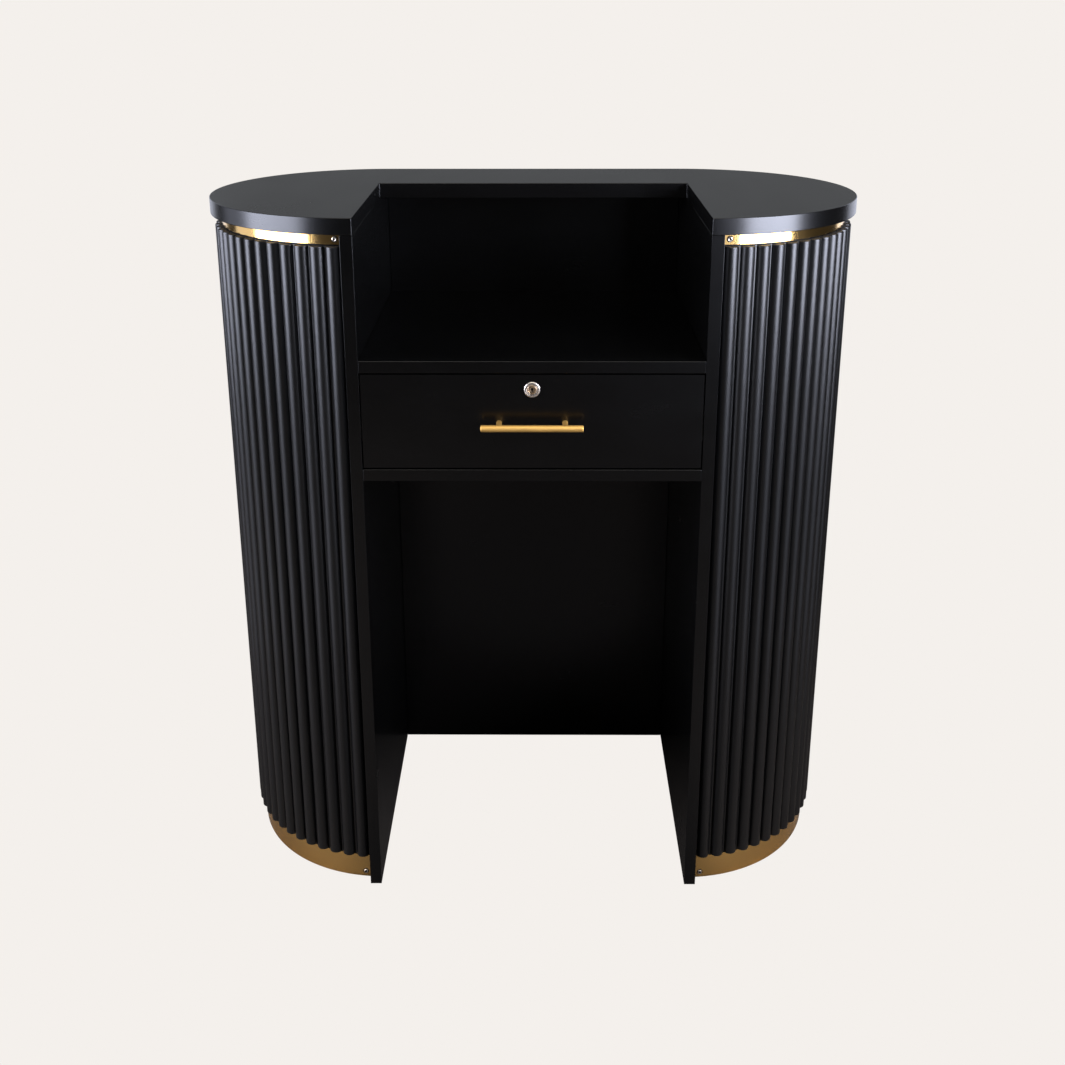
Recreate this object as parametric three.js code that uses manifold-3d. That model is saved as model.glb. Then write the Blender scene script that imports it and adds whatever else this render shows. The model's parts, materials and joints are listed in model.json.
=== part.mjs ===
// Salon service counter on a stadium-shaped plan: a notched countertop on two side panels, with an
// open cubby, a lockable drawer on telescopic slides, an open knee space, and round ends clad in
// half-round reeds between two brass-coloured trim bands.
//
// Millimetres, +Z up. The user sits on the -Y side and the customer stands on the +Y side.
// Pieces are laid out from the countertop's front edge (y = 0) and the floor (z = 0). The whole
// desk is then moved so that the origin is at the centre of its footprint, handle included.

import * as THREE from "three";
import { mergeVertices } from "three/addons/utils/BufferGeometryUtils.js";
import Module from "manifold-3d";

const wasm = await Module();
wasm.setup();

// ---------------------------------------------------------------- driving dimensions

const INNER_WIDTH = 500; // between the side panels; the round ends are centred on their inner faces
const DEPTH = 500; // over the countertop, so each round end has a radius of half of this
const HEIGHT = 1105; // floor to the top of the countertop

const BOARD = 18; // side panels, back panel, shelf, deck, drawer front, formers
const TOP_BOARD = 24; // countertop
const END_SHELL = 12; // bent board of the round ends
const DRAWER_BOARD = 12; // sides and back of the drawer box
const DRAWER_BASE = 6; // bottom sheet of the drawer box

const NOTCH_DEPTH = 328; // cut-out of the countertop, open to the front
const FACE_SETBACK = 1; // panel fronts behind the countertop's front edge
const SHELF_DROP = 206; // top of the countertop down to the cubby shelf
const DRAWER_OPENING = 148; // clear height between shelf and deck

const REED_SETBACK = 6; // reed crests behind the countertop's edge
const REED_HEIGHT = 9;
const REED_BACKING = 3; // sheet that the reeds stand on
const REED_PITCH = 24; // wanted spacing; each run takes the nearest whole number of reeds
const REED_GAP = 2.6; // flat valley between two reeds
const REED_END_GAP = 2; // open joint between the reeds' ends and the trim bands

const BAND_THICK = 2;
const TOP_BAND_HEIGHT = 16;
const BOTTOM_BAND_HEIGHT = 42;
const FLOOR_GAP = 2; // cladding and bands above the floor

const FRONT_SIDE_GAP = 2; // drawer front to side panels
const FRONT_TOP_GAP = 2;
const FRONT_BOTTOM_GAP = 3;
const BOX_HEIGHT = 105; // drawer box
const BOX_LIFT = 15; // deck to drawer box
const BOX_REAR_SPACE = 25; // drawer box to back panel

const SLIDE_SPACE = 13; // side panel to drawer box
const SLIDE_HEIGHT = 45;
const SLIDE_GAUGE = 1.5;
const SLIDE_FRONT_SPACE = 4; // drawer front to slide
const SLIDE_RUNNING = 0.7; // clear space between two members, sideways
const SLIDE_OUTER_SPACE = 2; // the same above and below the middle member
const SLIDE_BALL_SPACE = 4.5; // the same above and below the inner member, where the balls run
const SLIDE_SCREW_INSET = 35; // from the ends of the drawer box
const SLIDE_SCREW_GRIP = 9; // how far a slide screw reaches into its board
const SLIDE_SCREW_TIP = 1.5;
const SLIDE_SCREW_SHANK = 1.6;
const SLIDE_SCREW_HEAD = 3.4;

const HANDLE_SPACING = 96; // between post centres
const HANDLE_LENGTH = 148;
const HANDLE_RADIUS = 5;
const HANDLE_STANDOFF = 27; // drawer face to the bar's centre line
const HANDLE_DROP = 1; // below the middle of the drawer front
const POST_RADIUS = 4;
const POST_SINK = 2; // how far a post enters the bar
const HANDLE_SCREW_SHANK = 2;
const HANDLE_SCREW_HEAD = 4;
const HANDLE_SCREW_HEAD_HEIGHT = 2.4;
const HANDLE_SCREW_ENTRY = 8; // how far a screw reaches into its post

const LOCK_DROP = 24; // shelf underside to the lock's axis
const LOCK_FACE_RADIUS = 12;
const LOCK_FACE_THICK = 2.5;
const LOCK_FACE_EDGE = 1; // chamfer
const LOCK_BARREL_RADIUS = 9.5;
const PLUG_RADIUS = 7;
const PLUG_PROUD = 0.5; // of the lock's face
const KEYWAY_HALF_WIDTH = 0.9;
const KEYWAY_HALF_HEIGHT = 4;
const KEYWAY_DEPTH = 6;
const CRANK = 5; // lock axis to the pin that drives the bolt
const SWING_SHARE = 0.22; // of the crank, by which an even lift and the pin's swing differ
const CRANK_PIN_RADIUS = 1.5;
const CRANK_PIN_ROOT = 1; // how far the pin enters the plug, and stops short of the bolt's back
const BOLT_WIDTH = 18;
const BOLT_THICK = 5;
const BOLT_DROP = 11; // lock axis to the lower end of the bolt
const BOLT_RECESS = 0.5; // top of the unlocked bolt below the top of the case
const CASE_WALL = 2;
const CASE_HALF_WIDTH = 20;
const CASE_DROP = 19; // lock axis to the underside of the case
const CASE_TOP_SPACE = 2; // case below the top of the drawer front
const CASE_SCREW_X = 15.5;
const CASE_SCREW_SHANK = 1.5;
const CASE_SCREW_HEAD = 3;
const CASE_SCREW_HEAD_HEIGHT = 1.8;
const CASE_SCREW_GRIP = 10; // how far a case screw reaches into the drawer front
const STRIKE_HALF_LENGTH = 22;
const STRIKE_HALF_WIDTH = 8;
const STRIKE_THICK = 1.5;

const BAND_SCREW_INSET = 9; // from the band's cut end
const BAND_SCREW_SHANK = 1.5;
const BAND_SCREW_HEAD = 3.8;
const BAND_SCREW_HEAD_HEIGHT = 1.6;
const BAND_SCREW_LENGTH = 12;
const BAND_SCREW_LIFT = 10; // of the bottom band's screws, above the band's lower edge

const BASE_LIFT = 6; // lower edge of the drawer's sides to its bottom sheet

const FIT = 0.3; // gap between neighbouring pieces
const OVERRUN = 1; // how far a cutting shape passes the face that it opens

// Sides of a turned shape, by its size.
const FINE_SIDES = 32;
const ROUND_SIDES = 24;
const SCREW_SIDES = 16;
const SHANK_SIDES = 12;
const TOP_FACETS = 40; // of a quarter turn of the countertop's edge
const REED_FACETS = 6;

// ---------------------------------------------------------------- places that follow from them

const END_X = INNER_WIDTH / 2; // inner face of the right side panel
const PANEL_OUTER_X = END_X + BOARD;
const END_RADIUS = DEPTH / 2;
const AXIS_Y = DEPTH / 2; // axis of the round ends
const SKIN_X = END_X + FIT / 2; // axis of the cladding, half a seam out from the panel's face

const SKIN_INNER = END_RADIUS - REED_SETBACK - REED_HEIGHT - REED_BACKING;
const SKIN_VALLEY = SKIN_INNER + REED_BACKING;
const SHELL_OUTER = SKIN_INNER - FIT;
const SHELL_INNER = SHELL_OUTER - END_SHELL;
const FORMER_RADIUS = SHELL_INNER - FIT;
const REEDS_PER_END = Math.round((SKIN_VALLEY * Math.PI - BOARD) / REED_PITCH);
const REEDS_ACROSS_BACK = Math.round(INNER_WIDTH / REED_PITCH);

const FACE_Y = FACE_SETBACK;
const CUSTOMER_BACK_Y = AXIS_Y + SHELL_OUTER;
const CUSTOMER_FRONT_Y = CUSTOMER_BACK_Y - BOARD;
const BACK_REAR_Y = CUSTOMER_FRONT_Y - FIT;
const BACK_FRONT_Y = BACK_REAR_Y - BOARD;

const TOP_UNDERSIDE = HEIGHT - TOP_BOARD;
const BODY_TOP = TOP_UNDERSIDE - FIT;
const SHELF_TOP = HEIGHT - SHELF_DROP;
const SHELF_UNDERSIDE = SHELF_TOP - BOARD;
const DECK_TOP = SHELF_UNDERSIDE - DRAWER_OPENING;
const DECK_UNDERSIDE = DECK_TOP - BOARD;
const SHELF_HALF_WIDTH = END_X - FIT;
const SHELF_REAR_Y = BACK_FRONT_Y - FIT;

const BOTTOM_BAND_TOP = FLOOR_GAP + BOTTOM_BAND_HEIGHT;
const TOP_BAND_BOTTOM = BODY_TOP - TOP_BAND_HEIGHT;
const REED_BOTTOM = BOTTOM_BAND_TOP + REED_END_GAP;
const REED_TOP = TOP_BAND_BOTTOM - REED_END_GAP;

const FRONT_HALF_WIDTH = END_X - FRONT_SIDE_GAP;
const FRONT_BOTTOM = DECK_TOP + FRONT_BOTTOM_GAP;
const FRONT_TOP = SHELF_UNDERSIDE - FRONT_TOP_GAP;
const FRONT_BACK_Y = FACE_Y + BOARD;
const BOX_FRONT_Y = FRONT_BACK_Y + FIT;
const BOX_BACK_Y = BACK_FRONT_Y - BOX_REAR_SPACE;
const BOX_X = END_X - SLIDE_SPACE; // outer face of a drawer side
const BOX_INNER_X = BOX_X - DRAWER_BOARD;
const BOX_BOTTOM = DECK_TOP + BOX_LIFT;
const BOX_TOP = BOX_BOTTOM + BOX_HEIGHT;

const SLIDE_Z = BOX_BOTTOM + SLIDE_HEIGHT;
const SLIDE_FRONT_Y = FRONT_BACK_Y + SLIDE_FRONT_SPACE;
const SLIDE_SCREW_Y = [SLIDE_FRONT_Y + SLIDE_SCREW_INSET, BOX_BACK_Y - SLIDE_SCREW_INSET];

const HANDLE_Z = (FRONT_BOTTOM + FRONT_TOP) / 2 - HANDLE_DROP;
const HANDLE_Y = FACE_Y - HANDLE_STANDOFF;

const LOCK_Z = SHELF_UNDERSIDE - LOCK_DROP;
const BOLT_TRAVEL = 2 * CRANK;
const CASE_FRONT_Y = FRONT_BACK_Y + FIT;
const CHANNEL_FRONT_Y = CASE_FRONT_Y + CASE_WALL;
const BOLT_FRONT_Y = CHANNEL_FRONT_Y + FIT;
const BOLT_BACK_Y = BOLT_FRONT_Y + BOLT_THICK;
const CHANNEL_BACK_Y = BOLT_BACK_Y + FIT;
const CASE_BACK_Y = CHANNEL_BACK_Y + CASE_WALL;
const CASE_TOP = FRONT_TOP - CASE_TOP_SPACE;
const CASE_BOTTOM = LOCK_Z - CASE_DROP;
const BOLT_BOTTOM = LOCK_Z - BOLT_DROP;
const BOLT_TOP = CASE_TOP - BOLT_RECESS;
const STRIKE_Y = (BOLT_FRONT_Y + BOLT_BACK_Y) / 2;

const BAND_OUTER = SKIN_INNER + BAND_THICK;
const BAND_SCREW_ANGLE = startAngle(BAND_OUTER) + BAND_SCREW_INSET / BAND_OUTER;
const BAND_SCREW_Z = {
  top: TOP_BAND_BOTTOM + TOP_BAND_HEIGHT / 2,
  bottom: FLOOR_GAP + BAND_SCREW_LIFT,
};

// ---------------------------------------------------------------- solids

function toSolid(geometry) {
  const bare = geometry.clone();
  bare.deleteAttribute("normal");
  bare.deleteAttribute("uv");
  const merged = mergeVertices(bare, 1e-4);
  return new wasm.Manifold(
    new wasm.Mesh({
      numProp: 3,
      vertProperties: merged.attributes.position.array,
      triVerts: new Uint32Array(merged.index.array),
    }),
  );
}

function toGeometry(solid) {
  const mesh = solid.getMesh();
  const geometry = new THREE.BufferGeometry();
  geometry.setAttribute("position", new THREE.BufferAttribute(mesh.vertProperties, 3));
  geometry.setIndex(new THREE.BufferAttribute(mesh.triVerts, 1));
  geometry.computeVertexNormals();
  return geometry;
}

function cut(base, ...tools) {
  const rest = tools.reduce((solid, tool) => solid.subtract(toSolid(tool)), toSolid(base));
  return toGeometry(rest);
}

function join(base, ...others) {
  const whole = others.reduce((solid, other) => solid.add(toSolid(other)), toSolid(base));
  return toGeometry(whole);
}

// A block between two corners.
function block(x0, x1, y0, y1, z0, z1) {
  const geometry = new THREE.BoxGeometry(x1 - x0, y1 - y0, z1 - z0);
  return geometry.translate((x0 + x1) / 2, (y0 + y1) / 2, (z0 + z1) / 2);
}

// A block centred on x = 0.
function centredBlock(halfWidth, y0, y1, z0, z1) {
  return block(-halfWidth, halfWidth, y0, y1, z0, z1);
}

// A round bar from front to back, centred on (x, z).
function barAlongY(radius, y0, y1, x, z, sides = ROUND_SIDES) {
  const geometry = new THREE.CylinderGeometry(radius, radius, y1 - y0, sides);
  return geometry.translate(x, (y0 + y1) / 2, z);
}

// A plan outline raised from z0 to z1. Each round stretch of the outline gets 2 * steps facets.
function raise(outline, z0, z1, steps) {
  const geometry = new THREE.ExtrudeGeometry(outline, {
    depth: z1 - z0,
    curveSegments: steps,
    bevelEnabled: false,
  });
  return geometry.translate(0, 0, z0);
}

// A cross-section in x and z, run from y0 to y1.
function runAlongY(section, y0, y1) {
  const geometry = new THREE.ExtrudeGeometry(section, { depth: y1 - y0, bevelEnabled: false });
  return geometry.rotateX(Math.PI / 2).translate(0, y1, 0);
}

// A profile of [radius, y] points turned round the Y axis.
function turned(profile, sides) {
  const points = profile.map(([radius, y]) => new THREE.Vector2(radius, y));
  return new THREE.LatheGeometry(points, sides);
}

// A screw along Y: its domed head points to -Y and stands on y = 0, its shank runs to +Y.
function screw(headRadius, headHeight, shankRadius, length) {
  const profile = [
    [0, -headHeight],
    [headRadius * 0.6, -headHeight * 0.86],
    [headRadius, -headHeight * 0.3],
    [headRadius, 0],
    [shankRadius, 0],
    [shankRadius, length - shankRadius],
    [0, length],
  ];
  return turned(profile, SCREW_SIDES);
}

// ---------------------------------------------------------------- finishes

function finish(color, roughness, metalness) {
  return () => new THREE.MeshStandardMaterial({ color, roughness, metalness });
}

const blackLacquer = finish(0x161514, 0.42, 0);
const drawerLining = finish(0x1e1c1a, 0.6, 0);
const rawBoard = finish(0x8a6b4a, 0.85, 0);
const brassSheet = finish(0xb8893f, 0.28, 1);
const satinBrass = finish(0xd9a94e, 0.34, 1);
const chrome = finish(0xd2d4d6, 0.12, 1);
const zincSteel = finish(0x9a9da0, 0.4, 1);

const desk = new THREE.Group();
const handleReach = HANDLE_STANDOFF + HANDLE_RADIUS - FACE_SETBACK;
desk.position.y = -(DEPTH - handleReach) / 2;

function add(name, geometry, material, parent = desk) {
  const mesh = new THREE.Mesh(geometry, material());
  mesh.name = name;
  parent.add(mesh);
  return mesh;
}

const SIDES = [
  ["left", -1],
  ["right", 1],
];

// Makes a piece for the right side and its mirror image for the left side.
function addBothSides(name, geometry, material) {
  for (const [side, sign] of SIDES) {
    const mesh = add(`${side}_${name}`, geometry, material);
    mesh.scale.x = sign;
  }
}

// ---------------------------------------------------------------- carcass

function countertopOutline() {
  const outline = new THREE.Shape();
  outline.moveTo(END_X, 0);
  outline.absarc(END_X, AXIS_Y, END_RADIUS, -Math.PI / 2, Math.PI / 2, false);
  outline.absarc(-END_X, AXIS_Y, END_RADIUS, Math.PI / 2, (Math.PI * 3) / 2, false);
  outline.lineTo(-END_X, NOTCH_DEPTH);
  outline.lineTo(END_X, NOTCH_DEPTH);
  outline.closePath();
  return outline;
}

function strikeOpening(depth) {
  const slack = 2 * FIT;
  return block(
    -BOLT_WIDTH / 2 - slack,
    BOLT_WIDTH / 2 + slack,
    BOLT_FRONT_Y - slack,
    BOLT_BACK_Y + slack,
    SHELF_UNDERSIDE - OVERRUN,
    SHELF_UNDERSIDE + depth,
  );
}

function strikeBlock(grow, z0, z1) {
  const halfWidth = STRIKE_HALF_WIDTH + grow;
  return centredBlock(STRIKE_HALF_LENGTH + grow, STRIKE_Y - halfWidth, STRIKE_Y + halfWidth, z0, z1);
}

function addCarcass() {
  add("countertop", raise(countertopOutline(), TOP_UNDERSIDE, HEIGHT, TOP_FACETS), blackLacquer);

  // Each side panel has the pilot holes for its drawer slide.
  const panel = block(END_X, PANEL_OUTER_X, FACE_Y, BACK_REAR_Y, 0, BODY_TOP);
  const pilotEnd = END_X + SLIDE_SCREW_GRIP + FIT;
  const pilots = SLIDE_SCREW_Y.map((y) => slideScrewHole(y, END_X - OVERRUN, pilotEnd));
  addBothSides("side_panel", cut(panel, ...pilots), blackLacquer);

  add(
    "back_panel",
    centredBlock(SHELF_HALF_WIDTH, BACK_FRONT_Y, BACK_REAR_Y, 0, BODY_TOP),
    blackLacquer,
  );
  add(
    "customer_panel",
    centredBlock(END_X - FIT / 2, CUSTOMER_FRONT_Y, CUSTOMER_BACK_Y, FLOOR_GAP, BODY_TOP),
    blackLacquer,
  );

  const shelf = centredBlock(SHELF_HALF_WIDTH, FACE_Y, SHELF_REAR_Y, SHELF_UNDERSIDE, SHELF_TOP);
  const seatTop = SHELF_UNDERSIDE + STRIKE_THICK + FIT;
  const plateSeat = strikeBlock(FIT, SHELF_UNDERSIDE - OVERRUN, seatTop);
  const boltMortise = strikeOpening(BOLT_TRAVEL);
  add("cubby_shelf", cut(shelf, plateSeat, boltMortise), blackLacquer);

  add(
    "drawer_deck",
    centredBlock(SHELF_HALF_WIDTH, FACE_Y, SHELF_REAR_Y, DECK_UNDERSIDE, DECK_TOP),
    blackLacquer,
  );
}

// ---------------------------------------------------------------- round ends

// Angle, from the front, at which a circle of this radius round the end's axis clears the panel.
function startAngle(radius) {
  return Math.asin((BOARD + FIT / 2) / radius);
}

// A point of the right-hand end: an angle from the front and a distance from the axis.
function endPoint(angle, radius) {
  return new THREE.Vector2(SKIN_X + radius * Math.sin(angle), AXIS_Y - radius * Math.cos(angle));
}

// Plan of a bent sheet round the right-hand end, from the side panel to the middle of the back.
function bentSheet(inner, outer) {
  const outline = new THREE.Shape();
  outline.absarc(SKIN_X, AXIS_Y, outer, startAngle(outer) - Math.PI / 2, Math.PI / 2, false);
  outline.absarc(SKIN_X, AXIS_Y, inner, Math.PI / 2, startAngle(inner) - Math.PI / 2, true);
  outline.closePath();
  return outline;
}

function formerOutline() {
  const outline = new THREE.Shape();
  const start = startAngle(FORMER_RADIUS);
  outline.absarc(SKIN_X, AXIS_Y, FORMER_RADIUS, start - Math.PI / 2, Math.PI / 2 - start, false);
  outline.closePath();
  return outline;
}

// Moves a piece made along Y, with its head at y = 0, onto the round end.
function ontoEnd(geometry, angle, radius, z) {
  const foot = endPoint(angle, radius);
  return geometry.rotateZ(angle).translate(foot.x, foot.y, z);
}

// A hole for a band screw through the right-hand end's cladding.
function bandScrewHole(z) {
  const depth = BAND_SCREW_LENGTH + OVERRUN;
  const hole = barAlongY(BAND_SCREW_SHANK + FIT, -OVERRUN, depth, 0, 0, SCREW_SIDES);
  return ontoEnd(hole, BAND_SCREW_ANGLE, BAND_OUTER + FIT, z);
}

function addEnds() {
  const shell = raise(bentSheet(SHELL_INNER, SHELL_OUTER), FLOOR_GAP, BODY_TOP, REEDS_PER_END);
  const holes = Object.values(BAND_SCREW_Z).map(bandScrewHole);
  addBothSides("end_shell", cut(shell, ...holes), blackLacquer);

  const formerLevels = {
    bottom: FLOOR_GAP + BOARD,
    middle: (BODY_TOP - BOARD) / 2,
    top: BODY_TOP - BOARD - FIT,
  };
  for (const [level, z] of Object.entries(formerLevels)) {
    const former = raise(formerOutline(), z, z + BOARD, REEDS_PER_END);
    addBothSides(`former_${level}`, former, rawBoard);
  }
}

// ---------------------------------------------------------------- reeds

// Section of one reed: offsets along the wall and out of it, on an arc that meets the wall.
function reedSection(width, facets) {
  const radius = (width * width / 4 + REED_HEIGHT * REED_HEIGHT) / (2 * REED_HEIGHT);
  const half = Math.acos((radius - REED_HEIGHT) / radius);
  const points = [];
  for (let i = 0; i <= facets; i++) {
    const turn = half * ((2 * i) / facets - 1);
    points.push([radius * Math.sin(turn), radius * Math.cos(turn) - (radius - REED_HEIGHT)]);
  }
  return points;
}

// Reeds round the right-hand end. The backing has two facets behind each reed, as the shell has.
function endReedOutline() {
  const start = startAngle(SKIN_VALLEY);
  const step = (Math.PI - start) / REEDS_PER_END;
  const section = reedSection(step * SKIN_VALLEY - REED_GAP, REED_FACETS);
  const points = [endPoint(start, SKIN_VALLEY)];
  for (let reed = 0; reed < REEDS_PER_END; reed++) {
    const middle = start + (reed + 0.5) * step;
    for (const [along, out] of section) {
      points.push(endPoint(middle + along / SKIN_VALLEY, SKIN_VALLEY + out));
    }
  }
  points.push(endPoint(Math.PI, SKIN_VALLEY));
  const innerStart = startAngle(SKIN_INNER);
  const facets = 2 * REEDS_PER_END;
  for (let i = facets; i >= 0; i--) {
    const angle = innerStart + ((Math.PI - innerStart) * i) / facets;
    points.push(endPoint(angle, SKIN_INNER));
  }
  return new THREE.Shape(points);
}

// Reeds along the straight customer side, between the two seams.
function backReedOutline() {
  const halfWidth = END_X - FIT / 2;
  const step = (2 * halfWidth) / REEDS_ACROSS_BACK;
  const section = reedSection(step - REED_GAP, REED_FACETS);
  const wallY = AXIS_Y + SKIN_VALLEY;
  const points = [new THREE.Vector2(halfWidth, wallY)];
  for (let reed = 0; reed < REEDS_ACROSS_BACK; reed++) {
    const middle = halfWidth - (reed + 0.5) * step;
    for (const [along, out] of section) {
      points.push(new THREE.Vector2(middle - along, wallY + out));
    }
  }
  points.push(new THREE.Vector2(-halfWidth, wallY));
  points.push(new THREE.Vector2(-halfWidth, AXIS_Y + SKIN_INNER));
  points.push(new THREE.Vector2(halfWidth, AXIS_Y + SKIN_INNER));
  return new THREE.Shape(points);
}

function addReeding() {
  addBothSides("end_reeding", raise(endReedOutline(), REED_BOTTOM, REED_TOP, 1), blackLacquer);
  add("back_reeding", raise(backReedOutline(), REED_BOTTOM, REED_TOP, 1), blackLacquer);
}

// ---------------------------------------------------------------- trim bands

// Plan of a sheet that runs round the right end, along the back and round the left end.
function bandOutline() {
  const outline = new THREE.Shape();
  const outerStart = startAngle(BAND_OUTER) - Math.PI / 2;
  const innerStart = startAngle(SKIN_INNER) - Math.PI / 2;
  const quarter = Math.PI / 2;
  outline.absarc(SKIN_X, AXIS_Y, BAND_OUTER, outerStart, quarter, false);
  outline.absarc(-SKIN_X, AXIS_Y, BAND_OUTER, quarter, Math.PI - outerStart, false);
  outline.absarc(-SKIN_X, AXIS_Y, SKIN_INNER, Math.PI - innerStart, quarter, true);
  outline.absarc(SKIN_X, AXIS_Y, SKIN_INNER, quarter, innerStart, true);
  outline.closePath();
  return outline;
}

function addBands() {
  const levels = { top: [TOP_BAND_BOTTOM, BODY_TOP], bottom: [FLOOR_GAP, BOTTOM_BAND_TOP] };
  for (const [level, [z0, z1]] of Object.entries(levels)) {
    const hole = bandScrewHole(BAND_SCREW_Z[level]);
    const otherHole = ontoLeft(bandScrewHole(BAND_SCREW_Z[level]));
    const band = raise(bandOutline(), z0, z1, REEDS_PER_END);
    add(`${level}_trim_band`, cut(band, hole, otherHole), brassSheet);

    const fastener = screw(
      BAND_SCREW_HEAD,
      BAND_SCREW_HEAD_HEIGHT,
      BAND_SCREW_SHANK,
      BAND_SCREW_LENGTH,
    );
    const seated = ontoEnd(fastener, BAND_SCREW_ANGLE, BAND_OUTER + FIT, BAND_SCREW_Z[level]);
    addBothSides(`${level}_band_screw`, seated, chrome);
  }
}

// The same cutting tool on the left-hand side.
function ontoLeft(geometry) {
  const mirrored = geometry.toNonIndexed().scale(-1, 1, 1);
  const positions = mirrored.attributes.position;
  const corner = new THREE.Vector3();
  const next = new THREE.Vector3();
  for (let i = 0; i < positions.count; i += 3) {
    corner.fromBufferAttribute(positions, i + 1);
    next.fromBufferAttribute(positions, i + 2);
    positions.setXYZ(i + 1, next.x, next.y, next.z);
    positions.setXYZ(i + 2, corner.x, corner.y, corner.z);
  }
  return mergeVertices(mirrored);
}

// ---------------------------------------------------------------- drawer

function addDrawer() {
  const panel = centredBlock(FRONT_HALF_WIDTH, FACE_Y, FRONT_BACK_Y, FRONT_BOTTOM, FRONT_TOP);
  const start = FACE_Y - OVERRUN;
  const end = FRONT_BACK_Y + OVERRUN;
  const lockHole = barAlongY(LOCK_BARREL_RADIUS + FIT, start, end, 0, LOCK_Z, FINE_SIDES);
  const handleHoles = [-1, 1].map((sign) => {
    const x = (sign * HANDLE_SPACING) / 2;
    return barAlongY(HANDLE_SCREW_SHANK + FIT, start, end, x, HANDLE_Z, SHANK_SIDES);
  });
  const pilotStart = FRONT_BACK_Y - CASE_SCREW_GRIP - FIT;
  const casePilots = [-1, 1].map((sign) => {
    const x = sign * CASE_SCREW_X;
    return barAlongY(CASE_SCREW_SHANK + FIT, pilotStart, end, x, LOCK_Z, SHANK_SIDES);
  });
  add("drawer_front", cut(panel, lockHole, ...handleHoles, ...casePilots), blackLacquer);

  const side = block(BOX_INNER_X, BOX_X, BOX_FRONT_Y, BOX_BACK_Y, BOX_BOTTOM, BOX_TOP);
  const pilotEnd = BOX_X - SLIDE_SCREW_GRIP - FIT;
  const pilots = SLIDE_SCREW_Y.map((y) => slideScrewHole(y, pilotEnd, BOX_X + OVERRUN));
  addBothSides("drawer_side", cut(side, ...pilots), drawerLining);

  const innerHalf = BOX_INNER_X - FIT;
  const rearFront = BOX_BACK_Y - DRAWER_BOARD;
  add("drawer_back", centredBlock(innerHalf, rearFront, BOX_BACK_Y, BOX_BOTTOM, BOX_TOP), drawerLining);

  const baseZ = BOX_BOTTOM + BASE_LIFT;
  add(
    "drawer_bottom",
    centredBlock(innerHalf, BOX_FRONT_Y, rearFront - FIT, baseZ, baseZ + DRAWER_BASE),
    drawerLining,
  );
}

// ---------------------------------------------------------------- handle

function addHandle() {
  const bar = new THREE.CylinderGeometry(HANDLE_RADIUS, HANDLE_RADIUS, HANDLE_LENGTH, FINE_SIDES);
  bar.rotateZ(Math.PI / 2).translate(0, HANDLE_Y, HANDLE_Z);
  const postEnd = HANDLE_Y + HANDLE_RADIUS - POST_SINK;
  const socketFloor = postEnd - FIT;
  const sockets = [-1, 1].map((sign) => {
    const x = (sign * HANDLE_SPACING) / 2;
    const mouth = HANDLE_Y + HANDLE_RADIUS + OVERRUN;
    return barAlongY(POST_RADIUS + FIT, socketFloor, mouth, x, HANDLE_Z);
  });
  add("handle_bar", cut(bar, ...sockets), satinBrass);

  const postFoot = FACE_Y - FIT;
  const post = barAlongY(POST_RADIUS, postEnd, postFoot, HANDLE_SPACING / 2, HANDLE_Z);
  const thread = barAlongY(
    HANDLE_SCREW_SHANK + FIT,
    postFoot - HANDLE_SCREW_ENTRY - FIT,
    postFoot + OVERRUN,
    HANDLE_SPACING / 2,
    HANDLE_Z,
    SHANK_SIDES,
  );
  addBothSides("handle_post", cut(post, thread), satinBrass);

  const fastener = screw(
    HANDLE_SCREW_HEAD,
    HANDLE_SCREW_HEAD_HEIGHT,
    HANDLE_SCREW_SHANK,
    BOARD + HANDLE_SCREW_ENTRY,
  );
  fastener.rotateZ(Math.PI).translate(HANDLE_SPACING / 2, FRONT_BACK_Y + FIT, HANDLE_Z);
  addBothSides("handle_screw", fastener, zincSteel);
}

// ---------------------------------------------------------------- lock

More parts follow.
